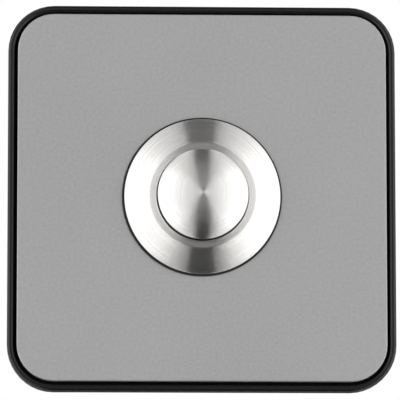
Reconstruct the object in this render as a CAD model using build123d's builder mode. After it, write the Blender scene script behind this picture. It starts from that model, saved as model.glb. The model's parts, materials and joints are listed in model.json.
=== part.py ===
from build123d import *
import os
from math import cos, radians, sqrt, tan

os.makedirs("parts", exist_ok=True)

# Square bell push for a wall, in millimetres.
# The wall's surface is the plane y = 0, the front faces -Y and +Z is up.
# The origin lies on the button's axis, in the wall's surface.
# A height is the distance out of the wall: positive in front of it, negative inside it.

# Base frame
base_side = 62.0
base_corner = 7.4
base_floor = 1.7
rim_height = 2.4
rim_width = 1.0
rim_bevel = 0.4

# Wall screws, and the head that sinks into the floor of the frame
screw_spacing = 45.0
screw_hole_d = 3.4
screw_head_d = 5.6

# Front plate and the pads behind it
plate_gap = 0.5
plate_thick = 1.5
plate_bevel = 0.15
pad_side = 10.0
pad_thick = 0.3
pad_inset = 9.0

# Button cap, in front of its seal
cap_d = 14.4
cap_stand = 1.35
dome_rise = 2.0

# Seal in the cap's groove
seal_groove_depth = 1.2
seal_groove_width = 1.6
seal_groove_margin = 0.4
seal_running_gap = 0.02
seal_side_gap = 0.1

# Button cap, behind its seal
shoulder_reach = 1.2
shoulder_thick = 1.4
skirt_wall = 1.3
pocket_depth = 5.2
stem_bore_depth = 2.0

# How far the button can be pushed, and the room left under its shoulder
button_travel = 1.2
travel_reserve = 2.4

# Bezel round the button, in front of the plate
cap_clearance = 0.15
land_width = 1.1
cone_rise = 1.6
flange_lip = 0.4
flange_reach = 1.55
gasket_thick = 0.3
gasket_overhang = 0.24

# Barrel, behind the bezel
guide_length = 5.0
stop_gap = 0.05
shoulder_clearance = 0.2
housing_step = 0.4
barrel_wall = 1.9
barrel_clearance = 0.2
barrel_tail = 1.1
barrel_end_bevel = 0.4
thread_fit = 0.05

# Plunger
stem_d = 4.0
stem_guide_gap = 0.1
stem_press_gap = 0.02
stem_exit = 0.6
pin_d = 2.0
pin_head_reach = 0.7
pin_head_thick = 0.6
pin_head_bevel = 0.25

# Springs
return_wire_d = 0.6
return_side_gap = 0.4
return_turns = 4.0
return_recess = 0.5
contact_wire_d = 0.35
contact_side_gap = 0.25
contact_turns = 2.5
contact_spring_length = 2.4

# Insulators
housing_fit = 0.1
housing_roof = 2.5
chamber_wall = 2.3
chamber_side_gap = 0.6
base_insulator_thick = 3.5
blade_slot_gap = 0.1
barrier_thick = 1.2
barrier_width = 12.0
barrier_height = 5.0

# Contacts
bridge_width = 4.0
bridge_thick = 0.6
bridge_margin = 1.6
bridge_hole_gap = 0.1
tip_d = 2.4
tip_thick = 0.5
blade_thick = 0.8
blade_width = 3.6
blade_bend = 0.5
foot_margin = 0.6

# Terminals
tab_width = 6.3
tab_length = 8.8
tab_corner = 1.0
collar_wall = 0.7
collar_length = 1.2
terminal_screw_d = 3.0
terminal_screw_gap = 0.05
terminal_screw_drop = 5.4
terminal_screw_tail = 0.6
terminal_head_reach = 1.25
terminal_head_thick = 2.0
driver_slot_width = 0.7
driver_slot_depth = 0.9
clamp_reach = 1.6
clamp_thick = 0.8

# Snap ring behind the insulators
ring_thick = 0.8
ring_groove_depth = 0.5
ring_groove_gap = 0.05
ring_bite = 1.2
ring_opening = 5.0
ring_ear_d = 2.2
ring_ear_hole_d = 1.0

# Nut and washer behind the plate
nut_wall = 2.1
nut_thick = 3.0
nut_face_margin = 0.3
nut_chamfer_angle = 20.0
nut_room = 0.6
washer_wall = 2.6
washer_thick = 0.8
washer_fit = 0.15
washer_notches = 12
washer_notch_depth = 1.3
washer_notch_width = 1.4

# Radii of the switch, from the cap outwards
guide_r = cap_d / 2 + cap_clearance
land_r = guide_r + land_width
shoulder_r = cap_d / 2 + shoulder_reach
chamber_r = shoulder_r + shoulder_clearance
rear_bore_r = chamber_r + housing_step
housing_r = rear_bore_r - housing_fit
barrel_r = rear_bore_r + barrel_wall
flange_r = barrel_r + flange_reach
groove_r = cap_d / 2 - seal_groove_depth
pocket_r = groove_r - skirt_wall

# Nut, washer and the openings that they pass through
nut_flats = 2 * (barrel_r + nut_wall)
nut_corner_r = nut_flats / 2 / cos(radians(30))
washer_r = barrel_r + washer_wall
opening_r = max(nut_corner_r, washer_r) + nut_room
plate_hole_r = barrel_r + barrel_clearance

# Plate and tray, from the frame's outline
tray_side = base_side - 2 * rim_width
tray_corner = base_corner - rim_width
plate_side = tray_side - 2 * plate_gap
plate_corner = tray_corner - plate_gap
pad_spacing = plate_side - 2 * pad_inset

# Heights in front of the wall
plate_back = base_floor + pad_thick
plate_front = plate_back + plate_thick
flange_seat = plate_front + gasket_thick
lip_top = flange_seat + flange_lip
land_height = lip_top + cone_rise
cap_edge = land_height + cap_stand
cap_top = cap_edge + dome_rise

# Heights inside the switch
stop_step = land_height - guide_length
shoulder_top = stop_step - stop_gap
shoulder_bottom = shoulder_top - shoulder_thick
pocket_top = shoulder_bottom + pocket_depth
stem_top = pocket_top + stem_bore_depth
groove_low = stop_step + button_travel + seal_groove_margin
groove_high = groove_low + seal_groove_width
housing_top = shoulder_bottom - button_travel - travel_reserve
return_seat = housing_top - return_recess
roof_bottom = housing_top - housing_roof

# The contact stack, from the plunger's shoulder down to the rear insulator
pin_shoulder = roof_bottom - stem_exit
bridge_top = pin_shoulder - contact_spring_length
bridge_bottom = bridge_top - bridge_thick
moving_tip_face = bridge_bottom - tip_thick
fixed_tip_face = moving_tip_face - button_travel
foot_top = fixed_tip_face - tip_thick
insulator_top = foot_top - blade_thick
insulator_bottom = insulator_top - base_insulator_thick
ring_bottom = insulator_bottom - ring_thick
barrel_end = ring_bottom - barrel_tail
tab_end = insulator_bottom - tab_length
terminal_height = insulator_bottom - terminal_screw_drop

# Reach of the contacts to each side of the axis, from the housing's wall inwards
chamber_length = 2 * (housing_r - chamber_wall)
chamber_width = max(bridge_width, blade_width) + 2 * chamber_side_gap
bridge_length = chamber_length - 2 * chamber_side_gap
tip_reach = bridge_length / 2 - bridge_margin
foot_inner = tip_reach - tip_d / 2 - foot_margin
leg_outer = bridge_length / 2
leg_inner = leg_outer - blade_thick

# Terminal screw and what it holds
terminal_hole_r = terminal_screw_d / 2 + terminal_screw_gap
terminal_head_r = terminal_screw_d / 2 + terminal_head_reach
collar_r = terminal_hole_r + collar_wall
clamp_side = 2 * (terminal_screw_d / 2 + clamp_reach)

# The half section through the axis: x is the radius and y the height
section = Plane(origin=(0, 0, 0), x_dir=(1, 0, 0), z_dir=(0, 0, -1))


def circles(part, radius):
    """The circular edges of this radius, the one furthest out of the wall first."""
    found = part.edges().filter_by(GeomType.CIRCLE)
    return found.filter_by(lambda edge: abs(edge.radius - radius) < 0.001).sort_by(Axis.Y)


# Base frame: a shallow tray with a bevelled rim, open in the middle for the nut
with BuildPart() as base_frame:
    with BuildSketch(Plane.XZ):
        RectangleRounded(base_side, base_side, base_corner)
    extrude(amount=rim_height)
    chamfer(base_frame.faces().sort_by(Axis.Y)[0].edges(), rim_bevel)
    with BuildSketch(Plane.XZ.offset(base_floor)):
        RectangleRounded(tray_side, tray_side, tray_corner)
    extrude(amount=rim_height - base_floor, mode=Mode.SUBTRACT)
    with BuildSketch(Plane.XZ):
        Circle(opening_r)
    extrude(amount=base_floor, mode=Mode.SUBTRACT)
    with Locations(Plane.XZ.offset(base_floor)):
        with GridLocations(0, screw_spacing, 1, 2):
            CounterSinkHole(screw_hole_d / 2, screw_head_d / 2, depth=base_floor)
base_frame.part.label = "base_frame"
export_step(base_frame.part, "parts/base_frame.step")

# Front plate: sheet metal with a narrow bevel round its face
with BuildPart() as front_plate:
    with BuildSketch(Plane.XZ.offset(plate_back)):
        RectangleRounded(plate_side, plate_side, plate_corner)
        Circle(plate_hole_r, mode=Mode.SUBTRACT)
    extrude(amount=plate_thick)
    chamfer(front_plate.faces().sort_by(Axis.Y)[0].outer_wire().edges(), plate_bevel)
front_plate.part.label = "front_plate"
export_step(front_plate.part, "parts/front_plate.step")

# Adhesive pads: one near each corner, between the frame's floor and the plate
with BuildPart() as adhesive_pads:
    with BuildSketch(Plane.XZ.offset(base_floor)):
        with GridLocations(pad_spacing, pad_spacing, 2, 2):
            Rectangle(pad_side, pad_side)
    extrude(amount=pad_thick)
adhesive_pads.part.label = "adhesive_pads"
export_step(adhesive_pads.part, "parts/adhesive_pads.step")

# Bezel gasket: a flat ring that shows as a thin black line round the bezel
with BuildPart() as bezel_gasket:
    with BuildSketch(Plane.XZ.offset(plate_front)):
        Circle(flange_r + gasket_overhang)
        Circle(plate_hole_r, mode=Mode.SUBTRACT)
    extrude(amount=gasket_thick)
bezel_gasket.part.label = "bezel_gasket"
export_step(bezel_gasket.part, "parts/bezel_gasket.step")

# Switch body: bezel and barrel turned from one bar, with a stepped bore
with BuildPart() as switch_body:
    with BuildSketch(section):
        with BuildLine():
            Polyline(
                (guide_r, land_height),
                (land_r, land_height),
                (flange_r, lip_top),
                (flange_r, flange_seat),
                (barrel_r, flange_seat),
                (barrel_r, barrel_end),
                (rear_bore_r, barrel_end),
                (rear_bore_r, housing_top),
                (chamber_r, housing_top),
                (chamber_r, stop_step),
                (guide_r, stop_step),
                close=True,
            )
        make_face()
    revolve(axis=Axis.Y)
    with BuildSketch(section):
        with Locations((rear_bore_r, insulator_bottom)):
            Rectangle(
                ring_groove_depth,
                ring_thick + ring_groove_gap,
                align=(Align.MIN, Align.MAX),
            )
    revolve(axis=Axis.Y, mode=Mode.SUBTRACT)
    chamfer(circles(switch_body, barrel_r)[-1], barrel_end_bevel)
switch_body.part.label = "switch_body"
export_step(switch_body.part, "parts/switch_body.step")

# Button cap: a dome on a grooved skirt, with a shoulder that cannot pass the guide
dome_radius = (cap_d ** 2 / 4 + dome_rise ** 2) / (2 * dome_rise)
with BuildPart() as button_cap:
    with BuildSketch(section):
        with BuildLine():
            dome = RadiusArc((0, cap_top), (cap_d / 2, cap_edge), dome_radius)
            Polyline(
                dome @ 1,
                (cap_d / 2, groove_high),
                (groove_r, groove_high),
                (groove_r, groove_low),
                (cap_d / 2, groove_low),
                (cap_d / 2, shoulder_top),
                (shoulder_r, shoulder_top),
                (shoulder_r, shoulder_bottom),
                (pocket_r, shoulder_bottom),
                (pocket_r, pocket_top),
                (stem_d / 2 + stem_press_gap, pocket_top),
                (stem_d / 2 + stem_press_gap, stem_top),
                (0, stem_top),
                dome @ 0,
            )
        make_face()
    revolve(axis=Axis.Y)
button_cap.part.label = "button_cap"
export_step(button_cap.part, "parts/button_cap.step")

# Button seal: a ring of square section that sits on the groove's floor and wipes the guide
seal_d = guide_r - seal_running_gap - groove_r
seal_height = seal_groove_width - 2 * seal_side_gap
with BuildPart() as button_seal:
    with BuildSketch(section):
        with Locations((groove_r + seal_d / 2, (groove_low + groove_high) / 2)):
            Rectangle(seal_d, seal_height)
    revolve(axis=Axis.Y)
button_seal.part.label = "button_seal"
export_step(button_seal.part, "parts/button_seal.step")

# Plunger: a stem pressed into the cap, then a thin pin with a head under the bridge
pin_end = bridge_bottom - pin_head_thick
pin_head_r = pin_d / 2 + pin_head_reach
with BuildPart() as plunger:
    with BuildSketch(section):
        with BuildLine():
            Polyline(
                (0, stem_top),
                (stem_d / 2, stem_top),
                (stem_d / 2, pin_shoulder),
                (pin_d / 2, pin_shoulder),
                (pin_d / 2, bridge_bottom),
                (pin_head_r, bridge_bottom),
                (pin_head_r, pin_end),
                (0, pin_end),
                close=True,
            )
        make_face()
    revolve(axis=Axis.Y)
    chamfer(circles(plunger, pin_head_r)[-1], pin_head_bevel)
plunger.part.label = "plunger"
export_step(plunger.part, "parts/plunger.step")

# Return spring: open coils with both ends ground flat
return_mean_r = pocket_r - return_side_gap - return_wire_d / 2
return_length = pocket_top - return_seat
with BuildPart() as return_spring:
    with BuildLine() as return_coil:
        Helix(
            pitch=return_length / return_turns,
            height=return_length,
            radius=return_mean_r,
            center=(0, -pocket_top, 0),
            direction=(0, 1, 0),
        )
    with BuildSketch(return_coil.line ^ 0):
        RegularPolygon(return_wire_d / 2, 4)
    sweep(path=return_coil.line, is_frenet=True)
    split(bisect_by=Plane.XZ.offset(pocket_top), keep=Keep.BOTTOM)
    split(bisect_by=Plane.XZ.offset(return_seat), keep=Keep.TOP)
return_spring.part.label = "return_spring"
export_step(return_spring.part, "parts/return_spring.step")

# Contact spring: round the pin, between the plunger's shoulder and the bridge
contact_mean_r = pin_d / 2 + contact_side_gap + contact_wire_d / 2
with BuildPart() as contact_spring:
    with BuildLine() as contact_coil:
        Helix(
            pitch=contact_spring_length / contact_turns,
            height=contact_spring_length,
            radius=contact_mean_r,
            center=(0, -pin_shoulder, 0),
            direction=(0, 1, 0),
        )
    with BuildSketch(contact_coil.line ^ 0):
        RegularPolygon(contact_wire_d / 2, 4)
    sweep(path=contact_coil.line, is_frenet=True)
    split(bisect_by=Plane.XZ.offset(pin_shoulder), keep=Keep.BOTTOM)
    split(bisect_by=Plane.XZ.offset(bridge_top), keep=Keep.TOP)
contact_spring.part.label = "contact_spring"
export_step(contact_spring.part, "parts/contact_spring.step")

# Moving contact: a flat bridge, threaded on the pin
with BuildPart() as moving_contact:
    with BuildSketch(Plane.XZ.offset(bridge_bottom)):
        Rectangle(bridge_length, bridge_width)
        Circle(pin_d / 2 + bridge_hole_gap, mode=Mode.SUBTRACT)
    extrude(amount=bridge_thick)
moving_contact.part.label = "moving_contact"
export_step(moving_contact.part, "parts/moving_contact.step")

# Contact tips: a rivet head at each end of the bridge, and one on each fixed contact
with BuildPart() as moving_tips:
    with BuildSketch(Plane.XZ.offset(moving_tip_face)):
        with GridLocations(2 * tip_reach, 0, 2, 1):
            Circle(tip_d / 2)
    extrude(amount=tip_thick)
moving_tips.part.label = "moving_tips"
export_step(moving_tips.part, "parts/moving_tips.step")

with BuildPart() as fixed_tips:
    with BuildSketch(Plane.XZ.offset(foot_top)):
        with GridLocations(2 * tip_reach, 0, 2, 1):
            Circle(tip_d / 2)
    extrude(amount=tip_thick)
fixed_tips.part.label = "fixed_tips"
export_step(fixed_tips.part, "parts/fixed_tips.step")

# Contact housing: roof with the stem's guide and the spring's seat, over the contact chamber
with BuildPart() as contact_housing:
    with BuildSketch(Plane.XZ.offset(insulator_top)):
        Circle(housing_r)
    extrude(amount=housing_top - insulator_top)
    with BuildSketch(Plane.XZ.offset(insulator_top)):
        Rectangle(chamber_length, chamber_width)
    extrude(amount=roof_bottom - insulator_top, mode=Mode.SUBTRACT)
    with BuildSketch(Plane.XZ.offset(return_seat)):
        Circle(pocket_r)
    extrude(amount=return_recess, mode=Mode.SUBTRACT)
    with BuildSketch(Plane.XZ.offset(roof_bottom)):
        Circle(stem_d / 2 + stem_guide_gap)
    extrude(amount=housing_roof, mode=Mode.SUBTRACT)
contact_housing.part.label = "contact_housing"
export_step(contact_housing.part, "parts/contact_housing.step")

# Terminal base: rear insulator, with a slot for each blade and a barrier between them
with BuildPart() as terminal_base:
    with BuildSketch(Plane.XZ.offset(insulator_bottom)):
        Circle(housing_r)
        with GridLocations(leg_inner + leg_outer, 0, 2, 1):
            Rectangle(
                blade_thick + 2 * blade_slot_gap,
                blade_width + 2 * blade_slot_gap,
                mode=Mode.SUBTRACT,
            )
    extrude(amount=base_insulator_thick)
    with BuildSketch(Plane.XZ.offset(insulator_bottom)):
        Rectangle(barrier_thick, barrier_width)
    extrude(amount=-barrier_height)
terminal_base.part.label = "terminal_base"
export_step(terminal_base.part, "parts/terminal_base.step")

# Fixed contacts and their terminals, the same on each side of the axis
for side, hand in ((-1, "left"), (1, "right")):
    profile = Plane(origin=(0, 0, 0), x_dir=(side, 0, 0), z_dir=(0, 0, -side))
    outer_face = Plane(
        origin=(side * leg_outer, -terminal_height, 0), x_dir=(0, 1, 0), z_dir=(side, 0, 0)
    )

    # A foot under the tip, a leg through the base and a wider tab with a tapped collar
    with BuildPart() as fixed_contact:
        with BuildSketch(profile):
            with BuildLine():
                Polyline(
                    (foot_inner, foot_top),
                    (leg_outer, foot_top),
                    (leg_outer, insulator_bottom),
                    (leg_inner, insulator_bottom),
                    (leg_inner, insulator_top),
                    (foot_inner, insulator_top),
                    close=True,
                )
            make_face()
        extrude(amount=blade_width / 2, both=True)
        bend = fixed_contact.edges().filter_by(Axis.Z).sort_by(Axis.Y)[:3]
        fillet(bend.sort_by(Axis.X)[0 if side < 0 else -1], blade_bend)
        tab_middle = (tab_end + insulator_bottom) / 2 - terminal_height
        with BuildSketch(outer_face):
            with Locations((-tab_middle, 0)):
                RectangleRounded(tab_length, tab_width, tab_corner)
        extrude(amount=-blade_thick)
        with BuildSketch(outer_face.offset(-blade_thick)):
            Circle(collar_r)
        extrude(amount=-collar_length)
        with BuildSketch(outer_face):
            Circle(terminal_hole_r)
        extrude(amount=-blade_thick - collar_length, mode=Mode.SUBTRACT)
    fixed_contact.part.label = "fixed_contact_" + hand
    export_step(fixed_contact.part, "parts/fixed_contact_" + hand + ".step")

    # Square clamp that presses the wire against the tab
    with BuildPart() as wire_clamp:
        with BuildSketch(outer_face):
            Rectangle(clamp_side, clamp_side)
            Circle(terminal_hole_r, mode=Mode.SUBTRACT)
        extrude(amount=clamp_thick)
    wire_clamp.part.label = "wire_clamp_" + hand
    export_step(wire_clamp.part, "parts/wire_clamp_" + hand + ".step")

    # Slotted cheese-head screw through the clamp into the collar
    with BuildPart() as terminal_screw:
        with BuildSketch(outer_face.offset(clamp_thick)):
            Circle(terminal_head_r)
        extrude(amount=terminal_head_thick)
        with BuildSketch(outer_face.offset(clamp_thick)):
            Circle(terminal_screw_d / 2)
        extrude(amount=-clamp_thick - blade_thick - collar_length - terminal_screw_tail)
        with BuildSketch(outer_face.offset(clamp_thick + terminal_head_thick)):
            Rectangle(driver_slot_width, 3 * terminal_head_r)
        extrude(amount=-driver_slot_depth, mode=Mode.SUBTRACT)
    terminal_screw.part.label = "terminal_screw_" + hand
    export_step(terminal_screw.part, "parts/terminal_screw_" + hand + ".step")

# Retaining ring: an open snap ring with an eye at each end, sprung into the barrel's groove
ring_outer_r = rear_bore_r + ring_groove_depth - ring_groove_gap
ring_inner_r = ring_outer_r - ring_bite
ear_offset = (ring_opening + ring_ear_d) / 2
ear_height = sqrt((rear_bore_r - ring_ear_d / 2) ** 2 - ear_offset ** 2)
with BuildPart() as retaining_ring:
    with BuildSketch(Plane.XZ.offset(ring_bottom)):
        Circle(ring_outer_r)
        Circle(ring_inner_r, mode=Mode.SUBTRACT)
        with Locations((0, ring_inner_r)):
            Rectangle(ring_opening, 4 * ring_bite, mode=Mode.SUBTRACT)
        with Locations((-ear_offset, ear_height), (ear_offset, ear_height)):
            Circle(ring_ear_d / 2)
            Circle(ring_ear_hole_d / 2, mode=Mode.SUBTRACT)
    extrude(amount=ring_thick)
retaining_ring.part.label = "retaining_ring"
export_step(retaining_ring.part, "parts/retaining_ring.step")

# Lock washer: inner teeth between notches
washer_back = plate_back - washer_thick
washer_bore_r = barrel_r + washer_fit
with BuildPart() as lock_washer:
    with BuildSketch(Plane.XZ.offset(washer_back)):
        Circle(washer_r)
        Circle(washer_bore_r, mode=Mode.SUBTRACT)
        with PolarLocations(washer_bore_r, washer_notches):
            Rectangle(2 * washer_notch_depth, washer_notch_width, mode=Mode.SUBTRACT)
    extrude(amount=washer_thick)
lock_washer.part.label = "lock_washer"
export_step(lock_washer.part, "parts/lock_washer.step")

# Mounting nut: thin hexagon with its corners turned off on the face away from the plate
nut_front = washer_back
nut_back = nut_front - nut_thick
nut_face_r = nut_flats / 2 - nut_face_margin
corner_drop = (nut_corner_r - nut_face_r) * tan(radians(nut_chamfer_angle))
with BuildPart() as mounting_nut:
    with BuildSketch(Plane.XZ.offset(nut_back)):
        RegularPolygon(nut_corner_r, 6)
        Circle(barrel_r + thread_fit, mode=Mode.SUBTRACT)
    extrude(amount=nut_thick)
    with BuildSketch(section):
        with BuildLine():
            Polyline(
                (0, nut_front),
                (nut_corner_r, nut_front),
                (nut_corner_r, nut_back + corner_drop),
                (nut_face_r, nut_back),
                (0, nut_back),
                close=True,
            )
        make_face()
    revolve(axis=Axis.Y, mode=Mode.INTERSECT)
mounting_nut.part.label = "mounting_nut"
export_step(mounting_nut.part, "parts/mounting_nut.step")
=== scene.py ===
import json
from math import atan, cos, degrees, hypot, pi, radians, sin, tan, tau

import bmesh
import bpy
from mathutils import Matrix, Vector

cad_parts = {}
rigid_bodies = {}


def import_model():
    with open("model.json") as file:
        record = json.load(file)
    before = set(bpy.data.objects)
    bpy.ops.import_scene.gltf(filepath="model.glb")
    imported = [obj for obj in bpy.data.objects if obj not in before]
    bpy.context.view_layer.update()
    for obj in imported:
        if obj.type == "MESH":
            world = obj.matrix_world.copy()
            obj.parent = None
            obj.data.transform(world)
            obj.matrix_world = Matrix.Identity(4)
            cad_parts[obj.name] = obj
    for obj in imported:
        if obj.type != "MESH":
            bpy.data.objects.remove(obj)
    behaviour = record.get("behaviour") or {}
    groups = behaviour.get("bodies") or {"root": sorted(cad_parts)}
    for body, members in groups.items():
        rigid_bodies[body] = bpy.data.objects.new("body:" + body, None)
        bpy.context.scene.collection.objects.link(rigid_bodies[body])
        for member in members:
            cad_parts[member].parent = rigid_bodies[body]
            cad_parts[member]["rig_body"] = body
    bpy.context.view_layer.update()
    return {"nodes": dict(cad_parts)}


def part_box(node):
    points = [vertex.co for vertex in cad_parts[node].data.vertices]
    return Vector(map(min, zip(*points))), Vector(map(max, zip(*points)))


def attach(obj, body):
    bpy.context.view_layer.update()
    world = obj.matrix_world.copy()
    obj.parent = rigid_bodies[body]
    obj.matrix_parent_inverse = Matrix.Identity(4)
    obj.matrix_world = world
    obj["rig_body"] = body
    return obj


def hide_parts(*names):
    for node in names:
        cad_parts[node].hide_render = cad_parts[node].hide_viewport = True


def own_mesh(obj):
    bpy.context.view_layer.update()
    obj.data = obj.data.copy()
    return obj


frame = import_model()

# Square bell push for a wall. Outlines are drawn in millimetres and become metres as they are built.
# The wall's surface is the plane y = 0, the front faces -Y, and a height is the way out of the wall.
MM = 0.001


def front_of(node):
    """The height of a node's front, in millimetres."""
    return -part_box(node)[0].y / MM


def back_of(node):
    """The height of a node's back, in millimetres."""
    return -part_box(node)[1].y / MM


def reach_of(node):
    """How far a node reaches to the right of the axis, in millimetres."""
    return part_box(node)[1].x / MM


# Tray frame and plate
frame_side = 2 * reach_of("base_frame")
frame_corner = 7.4
rim_top = front_of("base_frame")
rim_width = 1.0
rim_round = 0.45
lip_width = 0.30
lip_drop = 0.06
lip_round = 0.14
channel_floor = 0.7
channel_width = 1.1
channel_reach = frame_side / 2 - rim_width - channel_width
floor_top = back_of("adhesive_pads")
screw_spacing = 45.0
screw_hole_d = 3.4
screw_head_d = 5.6
nut_opening_r = 15.6
plate_trim = 0.055
plate_side = 2 * (reach_of("front_plate") - plate_trim)
plate_gap = frame_side / 2 - rim_width - plate_side / 2
plate_corner = frame_corner - rim_width - plate_gap
plate_back = back_of("front_plate")
plate_front = front_of("front_plate")
plate_round = 0.18
plate_hole_r = 11.1

# Bezel and barrel
gasket_r = reach_of("bezel_gasket")
gasket_bulge = 0.06
gasket_round = 0.1
gasket_slip = (-0.05, -0.03)
flange_seat = front_of("bezel_gasket")
flange_r = reach_of("switch_body")
flange_lip = 0.4
lip_top = flange_seat + flange_lip
land_r = 8.45
land_top = front_of("switch_body")
land_fall = 0.08
edge_break = 0.05
cone_break = 0.1
guide_r = 7.35
guide_length = 5.0
chamber_r = 8.6
rear_bore_r = 9.0
rear_break = 0.15
barrel_r = 10.9
barrel_end = back_of("switch_body")
housing_top = front_of("contact_housing")
thread_pitch = 1.0
thread_depth = 0.55
thread_root = 0.42 * thread_pitch
thread_crest = 0.08 * thread_pitch
thread_overlap = 0.1
thread_runout = 0.6
thread_steps = 72

# Button
cap_r = 7.2
cap_top = front_of("button_cap")
cap_back = back_of("button_cap")
dome_rise = 2.0
rim_break = 0.1
rim_break_turn = 0.6
shoulder_r = reach_of("button_cap")
shoulder_thick = 1.4
pocket_r = 4.7
pocket_depth = 5.2
stem_r = 2.02
stem_depth = 2.0

# Springs
return_wire = 0.6
return_gap = 0.4
return_coil_r = pocket_r - return_gap - return_wire / 2
return_turns = 4.0
pin_r = 1.0
contact_wire = 0.35
contact_gap = 0.25
contact_coil_r = pin_r + contact_gap + contact_wire / 2
contact_turns = 2.5
closed_turns = 0.8
closed_pitch = 0.6
ground_share = 0.2
wire_sides = 12
coil_steps = 36


# Meshes

def placed(name, data):
    """A new object of the scene, with its mesh, lamp or camera."""
    made = bpy.data.objects.new(name, data)
    bpy.context.scene.collection.objects.link(made)
    return made


def finished(bm, name, finish, body, sharp=35):
    """Makes a closed mesh an object that rides on a body."""
    bmesh.ops.recalc_face_normals(bm, faces=bm.faces)
    mesh = bpy.data.meshes.new(name)
    bm.to_mesh(mesh)
    bm.free()
    mesh.materials.append(finish)
    mesh.shade_smooth()
    mesh.set_sharp_from_angle(angle=radians(sharp))
    piece = placed(name, mesh)
    weighted = piece.modifiers.new("even", "WEIGHTED_NORMAL")
    weighted.keep_sharp = True
    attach(piece, body)
    return piece


def rounded_square(bm, side, corner, height, steps=10):
    """The edges of a square outline with round corners, at a height."""
    drawn = bmesh.new()
    bmesh.ops.create_grid(drawn, x_segments=1, y_segments=1, size=side / 2 * MM)
    bmesh.ops.bevel(
        drawn, geom=drawn.verts[:], offset=corner * MM, offset_type="OFFSET",
        affect="VERTICES", segments=steps, profile=0.5, material=-1,
    )
    spots = [bm.verts.new((v.co.x, -height * MM, v.co.y)) for v in outline_of(drawn)]
    drawn.free()
    return [bm.edges.new(pair) for pair in zip(spots, spots[1:] + spots[:1])]


def outline_of(bm):
    """The vertices round the first face, in order."""
    bm.faces.ensure_lookup_table()
    return list(bm.faces[0].verts)


def stepped(bm, edges, bend, section):
    """Extrudes an outline through (reach, height) points, round the same centres of its corners."""
    loops = [edges]
    for reach, height in section:
        made = bmesh.ops.extrude_edge_only(bm, edges=loops[-1])["geom"]
        spots = {v for v in made if isinstance(v, bmesh.types.BMVert)}
        for v in spots:
            x, z = v.co.x / MM, v.co.z / MM
            middle = Vector((max(-bend, min(bend, x)), 0, max(-bend, min(bend, z))))
            out = Vector((x, 0, z)) - middle
            place = middle + out.normalized() * (reach - bend)
            v.co = Vector((place.x, -height, place.z)) * MM
        lines = [e for e in made if isinstance(e, bmesh.types.BMEdge)]
        loops.append([e for e in lines if e.verts[0] in spots and e.verts[1] in spots])
    return loops[-1]


def circle(bm, radius, height, centre=(0, 0), steps=64):
    """The edges of a circle in the plane of the plate, at a height."""
    turn = Matrix.Rotation(pi / 2, 4, "X")
    place = Matrix.Translation((centre[0] * MM, -height * MM, centre[1] * MM)) @ turn
    made = bmesh.ops.create_circle(bm, segments=steps, radius=radius * MM, matrix=place)
    return list({edge for vert in made["verts"] for edge in vert.link_edges})


def lofted(bm, loops):
    """Joins each loop of edges to the next one."""
    for low, high in zip(loops, loops[1:]):
        bmesh.ops.bridge_loops(bm, edges=low + high)


def capped(bm, loops):
    """Fills the flat area between the first loop and the others."""
    edges = [edge for loop in loops for edge in loop]
    bmesh.ops.triangle_fill(bm, use_beauty=True, edges=edges)


def arc(centre, radius, start, end, steps):
    """Points (x, y) on an arc, its angles in degrees."""
    turns = [radians(start + (end - start) * i / steps) for i in range(steps + 1)]
    return [(centre[0] + radius * cos(t), centre[1] + radius * sin(t)) for t in turns]


def turned(outline, steps=96):
    """A shape spun round the button's axis from (radius, height) points."""
    bm = bmesh.new()
    spots = [bm.verts.new((r * MM, -h * MM, 0)) for r, h in outline]
    ends = [] if min(r for r, h in outline) < 0.001 else [(spots[-1], spots[0])]
    lines = [bm.edges.new(pair) for pair in list(zip(spots, spots[1:])) + ends]
    bmesh.ops.spin(
        bm, geom=spots + lines, cent=(0, 0, 0), axis=(0, 1, 0), angle=tau,
        steps=steps, use_merge=True,
    )
    bmesh.ops.remove_doubles(bm, verts=bm.verts, dist=0.002 * MM)
    return bm


def soften(bm, width, least=30, steps=2):
    """Rounds the edges that are sharper than an angle."""
    sharp = [e for e in bm.edges if e.is_manifold and e.calc_face_angle(0) > radians(least)]
    bmesh.ops.bevel(
        bm, geom=sharp, offset=width * MM, offset_type="OFFSET", affect="EDGES",
        segments=steps, profile=0.5, material=-1, clamp_overlap=True,
    )


# Finishes

class Wire:
    """A socket that adds Math nodes when it is worked on."""

    def __init__(self, finish, socket):
        self.finish = finish
        self.socket = socket

    def math(self, operation, *values):
        return self.finish.node("Math", {"operation": operation}, dict(enumerate(values)))

    def __add__(self, other):
        return self.math("ADD", self, other)

    def __radd__(self, other):
        return self.math("ADD", other, self)

    def __sub__(self, other):
        return self.math("SUBTRACT", self, other)

    def __rsub__(self, other):
        return self.math("SUBTRACT", other, self)

    def __mul__(self, other):
        return self.math("MULTIPLY", self, other)

    def __rmul__(self, other):
        return self.math("MULTIPLY", other, self)

    def __truediv__(self, other):
        return self.math("DIVIDE", self, other)

    def __rtruediv__(self, other):
        return self.math("DIVIDE", other, self)

    def whole(self):
        return self.math("FLOOR", self)

    def most(self, other):
        return self.math("MAXIMUM", self, other)

    def step(self, low, high):
        """0 below one value, 1 above the other, and smooth between them."""
        sockets = {"Value": self, "From Min": low, "From Max": high}
        return self.finish.node("MapRange", {"interpolation_type": "SMOOTHSTEP"}, sockets)


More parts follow.
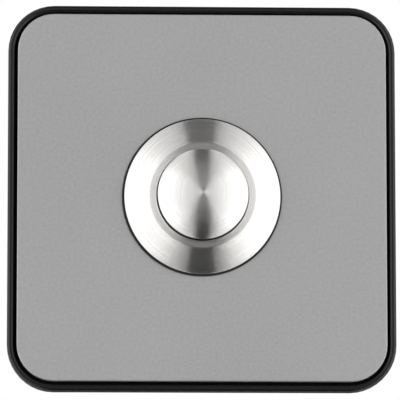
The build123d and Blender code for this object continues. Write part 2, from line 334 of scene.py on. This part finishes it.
class Nodes:
    """A tree of nodes round the shader that it ends in."""

    def __init__(self, tree, shader):
        self.tree = tree
        self.shader = tree.nodes[shader]

    def node(self, kind, settings, sockets, output=0):
        """Adds a node: its settings first, then the values or links of its sockets."""
        made = self.tree.nodes.new("ShaderNode" + kind)
        for name, value in settings.items():
            if name == "stops":
                ramp = made.color_ramp.elements
                ramp[0].position, ramp[1].position = value[0][0], value[-1][0]
                ramp[0].color, ramp[1].color = grey(value[0][1]), grey(value[-1][1])
                for spot, shade in value[1:-1]:
                    ramp.new(spot).color = grey(shade)
            else:
                setattr(made, name, value)
        for name, value in sockets.items():
            if isinstance(value, Wire):
                self.tree.links.new(value.socket, made.inputs[name])
            else:
                made.inputs[name].default_value = value
        return Wire(self, made.outputs[output])

    def feed(self, name, value):
        """Sets or links a socket of the shader."""
        if isinstance(value, Wire):
            self.tree.links.new(value.socket, self.shader.inputs[name])
        else:
            self.shader.inputs[name].default_value = value

    def vector(self, operation, first, second=(0, 0, 0), scale=1.0):
        """A Vector Math node. Its second output is used where the result is a length."""
        sockets = {0: first, 1: second, 3: scale}
        output = 1 if operation == "LENGTH" else 0
        return self.node("VectorMath", {"operation": operation}, sockets, output)

    def mixed(self, share, first, second):
        """A colour between two colours."""
        sockets = {"Factor": share, 6: first, 7: second}
        return self.node("Mix", {"data_type": "RGBA"}, sockets, 2)


class Finish(Nodes):
    """A material whose patterns lie in the object's own place."""

    def __init__(self, name, **plain):
        self.material = bpy.data.materials.new(name)
        self.material.use_nodes = True
        super().__init__(self.material.node_tree, "Principled BSDF")
        for socket, value in plain.items():
            self.feed(socket.replace("_", " ").title().replace("Ior", "IOR"), value)
        self.place = self.node("TexCoord", {}, {}, "Object")

    def noise(self, size, detail=2.0):
        """Soft noise from 0 to 1, whose blobs measure about one size in millimetres."""
        sockets = {"Vector": self.place, "Scale": 1 / (size * MM), "Detail": detail}
        return self.node("TexNoise", {}, sockets)

    def bump(self, height, depth):
        """The surface's direction over a height from 0 to 1 that is one depth, in millimetres."""
        sockets = {"Height": height, "Distance": depth * MM, "Strength": 1.0}
        return self.node("Bump", {}, sockets)


def grey(shade, warmth=0.0):
    """A grey, warmer where warmth is above 0."""
    return (shade * (1 + warmth), shade, shade * (1 - warmth), 1)


def turned_metal(name, shade, spread, roughness, warmth, groove_width=0.05, line_width=0.16):
    """Metal from a lathe: fine grooves round the axis, which throw the light in fans."""
    finish = Finish(name, metallic=1.0)
    flat = finish.vector("MULTIPLY", finish.place, (1, 0, 1))
    radius = finish.vector("LENGTH", flat)
    outwards = finish.vector("NORMALIZE", flat)
    turns = radius / (groove_width * MM)
    groove = turns.whole()
    chance = finish.node("TexWhiteNoise", {"noise_dimensions": "1D"}, {"W": groove})
    depth = chance * 0.6 + 0.7
    lean = (turns - groove - 0.5) * depth * (2 * spread)
    tilt = finish.vector("SCALE", outwards, scale=lean)
    facing = finish.node("NewGeometry", {}, {}, "Normal")
    finish.feed("Normal", finish.vector("NORMALIZE", finish.vector("ADD", facing, tilt)))
    cloud = finish.noise(3.0)
    along = {"W": radius / (line_width * MM), "Scale": 1.0}
    lines = finish.node("TexNoise", {"noise_dimensions": "1D"}, along)
    colour = finish.mixed(lines, grey(shade * 0.92, warmth), grey(shade * 1.08, warmth))
    finish.feed("Base Color", colour)
    finish.feed("Roughness", roughness + cloud * 0.03)
    return finish.material


def satin_metal(name, shade, roughness, grain):
    """Metal with an even, fine-grained satin face, in slightly uneven tones."""
    finish = Finish(name, metallic=1.0)
    fine = finish.noise(grain, detail=3.0)
    share = fine * 1.3 + finish.noise(30.0) * 0.5 - 0.4
    finish.feed("Base Color", finish.mixed(share, grey(shade * 0.88), grey(shade * 1.12)))
    finish.feed("Roughness", roughness + fine * 0.06)
    finish.feed("Normal", finish.bump(finish.noise(grain / 6, detail=2.0), 0.004))
    return finish.material


def moulded_plastic(name, shade, roughness, grain, depth, warmth=0.0, painted_shade_and_matt=None):
    """Plastic with the fine grain of its mould; where a mask says so it is matt, and darker there
    with painted shade.
    """
    finish = Finish(name, ior=1.5)
    fine = finish.noise(grain, detail=2.0)
    cloud = finish.noise(6.0)
    colour = finish.mixed(cloud, grey(shade * 0.85, warmth), grey(shade * 1.15, warmth))
    gloss = roughness + fine * 0.08
    if painted_shade_and_matt is not None:
        share = painted_shade_and_matt(finish)
        # Painted shade: the colour falls to a tenth of the shade where the mask is 1, and the
        # roughness rises towards 1.
        colour = finish.mixed(share, colour, grey(shade * 0.1))
        gloss = gloss + share * (1 - gloss)
    finish.feed("Base Color", colour)
    finish.feed("Roughness", gloss)
    finish.feed("Normal", finish.bump(fine, depth))
    return finish.material


def soft_rubber(name, shade):
    """Black rubber or foam with a matt, slightly rough face."""
    finish = Finish(name, ior=1.45)
    fine = finish.noise(0.08, detail=3.0)
    finish.feed("Base Color", finish.mixed(fine, grey(shade * 0.7), grey(shade * 1.3)))
    finish.feed("Roughness", 0.6 + fine * 0.2)
    finish.feed("Normal", finish.bump(fine, 0.01))
    return finish.material


def tinted_metal(name, colour, roughness, dulling):
    """Plated or bare metal whose handling marks change its gloss."""
    finish = Finish(name, metallic=1.0)
    marks = finish.noise(1.5, detail=4.0)
    darker = tuple(part * dulling for part in colour[:3]) + (1,)
    finish.feed("Base Color", finish.mixed(marks, darker, colour))
    finish.feed("Roughness", roughness + marks * 0.15)
    finish.feed("Normal", finish.bump(finish.noise(0.1), 0.002))
    return finish.material


def gap_shade_and_matt_mask(finish):
    """1 in the gap round the plate, 0 on the rim's top, the outer wall and the back. Where it is 1
    the plastic is matt and darkened with painted shade.
    """
    bend = frame_side / 2 - frame_corner
    flat = finish.vector("ABSOLUTE", finish.vector("MULTIPLY", finish.place, (1, 0, 1)))
    past = finish.vector("MAXIMUM", finish.vector("SUBTRACT", flat, (bend * MM, 0, bend * MM)))
    reach = finish.vector("LENGTH", past)
    wall = frame_corner - rim_width
    inner = wall - channel_width
    past_inner = reach.step((inner - 0.3) * MM, (inner - 0.1) * MM)
    past_wall = reach.step((wall - 0.02) * MM, (wall + 0.12) * MM)
    height = finish.node("SeparateXYZ", {}, {0: finish.place}, "Y") * -1
    return past_inner * (1 - past_wall) * height.step(0.1 * MM, 0.4 * MM)


# The tray's plastic gets painted shade and a matt face in the gap round the plate.
tray_black = moulded_plastic("tray_black", 0.004, 0.19, 0.25, 0.003, painted_shade_and_matt=gap_shade_and_matt_mask)
plate_satin = satin_metal("plate_satin", 0.442, 0.50, 0.5)
bezel_turned = turned_metal("bezel_turned", 0.70, 0.27, 0.14, 0.02)
button_turned = turned_metal("button_turned", 0.69, 0.27, 0.18, 0.02)
rubber_black = soft_rubber("rubber_black", 0.006)
foam_black = soft_rubber("foam_black", 0.03)
insulator_black = moulded_plastic("insulator_black", 0.03, 0.42, 0.12, 0.006)
plunger_white = moulded_plastic("plunger_white", 0.75, 0.4, 0.2, 0.002, 0.02)
spring_wire = tinted_metal("spring_wire", (0.50, 0.50, 0.51, 1), 0.22, 0.8)
brass_strip = tinted_metal("brass_strip", (0.80, 0.60, 0.28, 1), 0.24, 0.85)
silver_tip = tinted_metal("silver_tip", (0.90, 0.88, 0.84, 1), 0.2, 0.9)
zinc_plate = tinted_metal("zinc_plate", (0.66, 0.68, 0.71, 1), 0.26, 0.85)
nickel_plate = tinted_metal("nickel_plate", (0.62, 0.58, 0.52, 1), 0.2, 0.86)


# Tray frame: outer wall, rounded edge, narrow top, and the wall down to the tray's floor
def tray_frame():
    bm = bmesh.new()
    inner = frame_side / 2 - rim_width
    outer_curve = arc((frame_side / 2 - rim_round, rim_top - rim_round), rim_round, 0, 90, 8)
    lip_low = rim_top - lip_drop
    lip_curve = [(inner + lip_width, rim_top)]
    lip_curve += arc((inner + lip_round, lip_low - lip_round), lip_round, 90, 180, 3)
    channel = [(inner, channel_floor), (channel_reach, channel_floor), (channel_reach, floor_top)]
    outside = rounded_square(bm, frame_side, frame_corner, 0)
    bend = frame_side / 2 - frame_corner
    inside = stepped(bm, outside, bend, outer_curve + lip_curve + channel)
    screws = [(side * screw_spacing / 2, screw_hole_d / 2, screw_head_d / 2) for side in (-1, 1)]
    openings = [(0, nut_opening_r, nut_opening_r)] + screws
    fronts, backs = [], []
    for place, back_r, front_r in openings:
        backs.append(circle(bm, back_r, 0, (0, place)))
        fronts.append(circle(bm, front_r, floor_top, (0, place)))
        sink = min(front_r - back_r, floor_top)
        waist = [circle(bm, back_r, floor_top - sink, (0, place))] if sink > 0 else []
        lofted(bm, [backs[-1]] + waist + [fronts[-1]])
    capped(bm, [outside] + backs)
    capped(bm, [inside] + fronts)
    piece = finished(bm, "tray_frame", tray_black, "housing", sharp=14)
    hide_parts("base_frame")


# Front plate: flat sheet with a softly broken edge
def plate():
    bm = bmesh.new()
    half = plate_side / 2
    edge_curve = arc((half - plate_round, plate_front - plate_round), plate_round, 0, 90, 3)
    outside = rounded_square(bm, plate_side, plate_corner, plate_back)
    inside = stepped(bm, outside, half - plate_corner, edge_curve)
    hole_back = circle(bm, plate_hole_r, plate_back)
    hole_front = circle(bm, plate_hole_r, plate_front)
    lofted(bm, [hole_back, hole_front])
    capped(bm, [outside, hole_back])
    capped(bm, [inside, hole_front])
    piece = finished(bm, "satin_plate", plate_satin, "housing")
    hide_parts("front_plate")


# Bezel gasket: its lip shows as a thin black line
def gasket():
    outer = gasket_r + gasket_bulge - gasket_round
    outline = [(plate_hole_r, plate_front)]
    outline += arc((outer, plate_front + gasket_round), gasket_round, -90, 0, 3)
    outline += arc((outer, flange_seat - gasket_round), gasket_round, 0, 90, 3)
    outline += [(plate_hole_r, flange_seat)]
    ring = turned(outline)
    aside, up = gasket_slip
    bmesh.ops.translate(ring, vec=(aside * MM, 0, up * MM), verts=ring.verts)
    piece = finished(ring, "gasket_ring", rubber_black, "housing")
    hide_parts("bezel_gasket")


def thread_ridge(bm, core_r, start, end):
    """A closed ridge that winds round the barrel from one height down to another."""
    root_r = core_r - thread_overlap
    corners = [
        (root_r, start + thread_root), (barrel_r, start + thread_crest),
        (barrel_r, start - thread_crest), (root_r, start - thread_root),
    ]
    spots = [bm.verts.new((r * MM, -h * MM, 0)) for r, h in corners]
    face = bm.faces.new(spots)
    turns = (start - end) / thread_pitch
    steps = int(turns * thread_steps)
    climb = (start - end) * MM / steps
    bmesh.ops.spin(
        bm, geom=[face], cent=(0, 0, 0), axis=(0, 1, 0), dvec=(0, climb, 0),
        angle=tau * turns, steps=steps, use_merge=False,
    )
    for vert in bm.verts:
        reach = hypot(vert.co.x, vert.co.z) / MM
        height = max(-vert.co.y / MM, end)
        allowed = barrel_r - max(0, end + thread_runout - height)
        share = min(1, allowed / reach)
        vert.co = Vector((vert.co.x * share, -height * MM, vert.co.z * share))


# Bezel and barrel: one turned piece, and the thread cut on its barrel
def bezel():
    core_r = barrel_r - thread_depth
    land_low = land_top - land_fall
    slope = atan((land_low - lip_top) / (flange_r - land_r))
    down, out = cone_break * sin(slope), cone_break * cos(slope)
    guide_end = land_top - guide_length
    outline = [
        (guide_r + edge_break, land_top),
        (land_r - cone_break, land_low),
        (land_r + out, land_low - down),
        (flange_r - out, lip_top + down),
        (flange_r, lip_top - cone_break),
        (flange_r, flange_seat),
        (core_r, flange_seat),
        (core_r, barrel_end),
        (rear_bore_r + rear_break, barrel_end),
        (rear_bore_r, barrel_end + rear_break),
        (rear_bore_r, housing_top),
        (chamber_r, housing_top),
        (chamber_r, guide_end),
        (guide_r, guide_end),
        (guide_r, land_top - edge_break),
    ]
    body = turned(outline, 128)
    ridge = bmesh.new()
    thread_ridge(ridge, core_r, flange_seat - thread_pitch, barrel_end)
    wound = bpy.data.meshes.new("ridge")
    ridge.to_mesh(wound)
    ridge.free()
    body.from_mesh(wound)
    bpy.data.meshes.remove(wound)
    piece = finished(body, "bezel_and_barrel", bezel_turned, "housing")
    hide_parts("switch_body")


# Button: dome with a fine round at its rim, over a skirt and a shoulder
def button():
    dome_r = (cap_r ** 2 + dome_rise ** 2) / (2 * dome_rise)
    rim_turn = 90 - 2 * degrees(atan(dome_rise / cap_r))
    shoulder_top = cap_back + shoulder_thick
    pocket_top = cap_back + pocket_depth
    outline = arc((0, cap_top - dome_r), dome_r, 90, rim_turn + rim_break_turn, 24)
    outline += [
        (cap_r, outline[-1][1] - rim_break),
        (cap_r, shoulder_top),
        (shoulder_r, shoulder_top),
        (shoulder_r, cap_back),
        (pocket_r, cap_back),
        (pocket_r, pocket_top),
        (stem_r, pocket_top),
        (stem_r, pocket_top + stem_depth),
        (0, pocket_top + stem_depth),
    ]
    piece = finished(turned(outline, 128), "domed_button", button_turned, "button")
    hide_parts("button_cap")


def coil(name, node, coil_r, wire, turns):
    """A spring of round wire in a node's place, with its end turns closed and ground flat."""
    start, end = front_of(node), back_of(node)
    bm = bmesh.new()
    place = Matrix.Translation((coil_r * MM, (wire / 2 - start) * MM, 0))
    bmesh.ops.create_circle(
        bm, cap_ends=True, segments=wire_sides, radius=wire / 2 * MM, matrix=place,
    )
    tip = bm.faces[:]
    closed_rise = closed_turns * wire * closed_pitch
    open_rise = start - end - wire - 2 * closed_rise
    closed, opened = (closed_turns, closed_rise), (turns, open_rise)
    for share, rise in (closed, opened, closed):
        steps = round(share * coil_steps)
        tip = bmesh.ops.spin(
            bm, geom=tip, cent=(0, 0, 0), axis=(0, 1, 0), dvec=(0, rise * MM / steps, 0),
            angle=tau * share, steps=steps, use_merge=False,
        )["geom_last"]
    grind = wire * ground_share
    for vert in bm.verts:
        vert.co.y = max((grind - start) * MM, min((-end - grind) * MM, vert.co.y))
    stretch = (start - end) / (start - end - 2 * grind)
    middle = Matrix.Translation((0, (start + end) / 2 * MM, 0))
    bmesh.ops.scale(bm, vec=(1, stretch, 1), space=middle, verts=bm.verts)
    piece = finished(bm, name, spring_wire, frame["nodes"][node]["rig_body"])
    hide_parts(node)
    return piece


def dressed(node, finish, width, least=30):
    """A copy of a solid with softly broken edges, which stands for it."""
    solid = frame["nodes"][node]
    bm = bmesh.new()
    bm.from_mesh(solid.data)
    bmesh.ops.remove_doubles(bm, verts=bm.verts, dist=0.001 * MM)
    bmesh.ops.dissolve_limit(
        bm, angle_limit=radians(1), use_dissolve_boundaries=False, verts=bm.verts, edges=bm.edges,
        delimit={"NORMAL"},
    )
    soften(bm, width, least)
    piece = finished(bm, node + "_dressed", finish, solid["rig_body"], sharp=least)
    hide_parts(node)


tray_frame()
plate()
gasket()
bezel()
button()

coil("contact_coil", "contact_spring", contact_coil_r, contact_wire, contact_turns)
spring = coil("return_coil", "return_spring", return_coil_r, return_wire, return_turns)
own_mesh(spring)

dressed("mounting_nut", nickel_plate, 0.1, least=15)
for node, finish, width in (
    ("lock_washer", zinc_plate, 0.06),
    ("retaining_ring", spring_wire, 0.06),
    ("terminal_base", insulator_black, 0.12),
    ("contact_housing", insulator_black, 0.1),
    ("plunger", plunger_white, 0.06),
    ("fixed_contact_left", brass_strip, 0.06),
    ("fixed_contact_right", brass_strip, 0.06),
    ("wire_clamp_left", zinc_plate, 0.08),
    ("wire_clamp_right", zinc_plate, 0.08),
    ("terminal_screw_left", zinc_plate, 0.1),
    ("terminal_screw_right", zinc_plate, 0.1),
    ("moving_contact", brass_strip, 0.05),
    ("moving_tips", silver_tip, 0.1),
    ("fixed_tips", silver_tip, 0.1),
):
    dressed(node, finish, width)

# Finishes of the solids that stay
for node, finish in (("adhesive_pads", foam_black), ("button_seal", rubber_black)):
    solid = frame["nodes"][node]
    solid.data.materials.clear()
    solid.data.materials.append(finish)


# Studio, in metres and degrees
view_turn = -2.3
view_rise = -7.75
view_roll = 0.03
view_distance = 0.700
view_lens = 394.8
view_target = Vector((-0.310, -2.2, -0.335)) * MM

room_level = 0.8
studio_floor = -1.2
floor_size = 20.0
floor_glow = 0.3

panel_distance = 1.5
panel_turn = 50.0
panel_width = 1.74
panel_height = 2.5
panel_light = 0.7
panel_bias = 0.04

card_distance = 1.5
card_width = 0.97
card_height = 12.0
card_flare = 2.2
card_shift = 0.07
# The front card's shade at an elevation, seen from the object
card_levels = [
    (-74, 0.02), (-28, 0.01), (-12, 0.20), (0, 0.30), (12, 0.43), (26, 0.52), (42, 0.04), (74, 0.04),
]
low_shade = 0.02
upper_shade = 0.14
flat_width = 0.9
flat_depth = 3.0
flat_rise = 3.0
rear_width = 1.6
rear_height = 2.0
rear_distance = 3.0
rear_drop = 1.15
side_distance = 2.0
side_width = 1.6
side_height = 2.4
side_rise = 2.2
side_behind = -0.2


def camera():
    lens = bpy.data.cameras.new("camera")
    lens.lens = view_lens
    lens.sensor_width = 36
    lens.clip_start = 0.01
    eye = placed("camera", lens)
    a, e = radians(view_turn), radians(view_rise)
    back = Vector((sin(a) * cos(e), -cos(a) * cos(e), sin(e)))
    eye.location = view_target + back * view_distance
    eye.rotation_mode = "QUATERNION"
    roll = Matrix.Rotation(radians(-view_roll), 4, "Z").to_quaternion()
    eye.rotation_quaternion = (-back).to_track_quat("-Z", "Y") @ roll
    bpy.context.scene.camera = eye


def panel(name, side):
    """A soft lamp to one side of the front, turned to the object."""
    light = bpy.data.lights.new(name, "AREA")
    light.shape = "RECTANGLE"
    light.size = panel_width
    light.size_y = panel_height
    light.energy = (panel_light + side * panel_bias) * pi * panel_width * panel_height
    source = placed(name, light)
    turn = radians(panel_turn)
    source.location = Vector((side * sin(turn), -cos(turn), 0)) * panel_distance
    source.rotation_mode = "QUATERNION"
    source.rotation_quaternion = (-source.location).to_track_quat("-Z", "Y")


def floor():
    bm = bmesh.new()
    bmesh.ops.create_grid(bm, x_segments=1, y_segments=1, size=floor_size)
    bmesh.ops.translate(bm, vec=(0, 0, studio_floor), verts=bm.verts)
    mesh = bpy.data.meshes.new("studio_floor")
    bm.to_mesh(mesh)
    bm.free()
    paint = Finish("floor_paint", roughness=0.9, emission_strength=1.0)
    paint.feed("Base Color", paint.mixed(paint.noise(400.0), grey(0.78), grey(0.82)))
    seen = paint.node("LightPath", {}, {}, "Is Camera Ray")
    paint.feed("Emission Color", paint.mixed(seen, grey(0.0), grey(floor_glow)))
    mesh.materials.append(paint.material)
    ground = placed("studio_floor", mesh)
    ground.visible_glossy = False


def even(shade):
    """The stops of one shade all over."""
    return [(0, shade), (1, shade)]


def dark_card(name, stops, width, height, spot, flare=1.0, turn=None):
    """A dark upright card that shows in reflections only, shaded upwards by (share, shade) stops."""
    bm = bmesh.new()
    upright = Matrix.Rotation(pi / 2, 4, "X")
    bmesh.ops.create_grid(bm, x_segments=1, y_segments=3, size=0.5, matrix=upright)
    ends = [v for v in bm.verts if abs(v.co.z) > 0.4]
    bmesh.ops.scale(bm, vec=(flare, 1, 1), verts=ends)
    bmesh.ops.scale(bm, vec=(width, 1, height), verts=bm.verts)
    if turn is not None:
        bmesh.ops.rotate(bm, cent=(0, 0, 0), matrix=Matrix.Rotation(pi / 2, 3, turn), verts=bm.verts)
    bmesh.ops.translate(bm, vec=spot, verts=bm.verts)
    mesh = bpy.data.meshes.new(name)
    bm.to_mesh(mesh)
    bm.free()
    paint = Finish(name, base_color=(0, 0, 0, 1), specular_ior_level=0.0, emission_strength=1.0)
    share = (paint.node("SeparateXYZ", {}, {0: paint.place}, "Z") - spot[2]) / height + 0.5
    paint.feed("Emission Color", paint.node("ValToRGB", {"stops": stops}, {"Fac": share}))
    mesh.materials.append(paint.material)
    card = placed(name, mesh)
    card.visible_camera = False
    card.visible_diffuse = False
    card.visible_shadow = False


def surroundings():
    """A white room: full white where it is seen or mirrored, and softer as a light."""
    world = bpy.data.worlds.new("studio")
    bpy.context.scene.world = world
    world.use_nodes = True
    room = Nodes(world.node_tree, "Background")
    kinds = ("Is Camera Ray", "Is Glossy Ray", "Is Transmission Ray")
    camera_ray, glossy_ray, passing_ray = (room.node("LightPath", {}, {}, kind) for kind in kinds)
    seen = camera_ray.most(glossy_ray).most(passing_ray)
    room.feed("Color", grey(1.0))
    room.feed("Strength", seen * (1 - room_level) + room_level)


camera()
floor()
surroundings()

card_shades = [(0.5 + card_distance * tan(radians(e)) / card_height, v) for e, v in card_levels]
front_spot = (card_shift, -card_distance, 0)
dark_card("front_card", card_shades, card_width, card_height, front_spot, card_flare)
dark_card("rear_card", even(low_shade), rear_width, rear_height, (0, rear_distance, -rear_drop))
for side, name, shade in ((1, "upper_card", upper_shade), (-1, "lower_card", low_shade)):
    spot = (card_shift, 0, side * flat_rise)
    dark_card(name, even(shade), flat_width, flat_depth, spot, turn="X")
for side, hand in ((-1, "left"), (1, "right")):
    for level, rank in ((1, "high"), (-1, "low")):
        name = hand + "_" + rank + "_card"
        spot = (side * side_distance, side_width / 2 + side_behind, level * side_rise)
        dark_card(name, even(low_shade), side_width, side_height, spot, turn="Z")
for side, name in ((-1, "left_panel"), (1, "right_panel")):
    panel(name, side)

bpy.context.scene.view_settings.view_transform = "Standard"
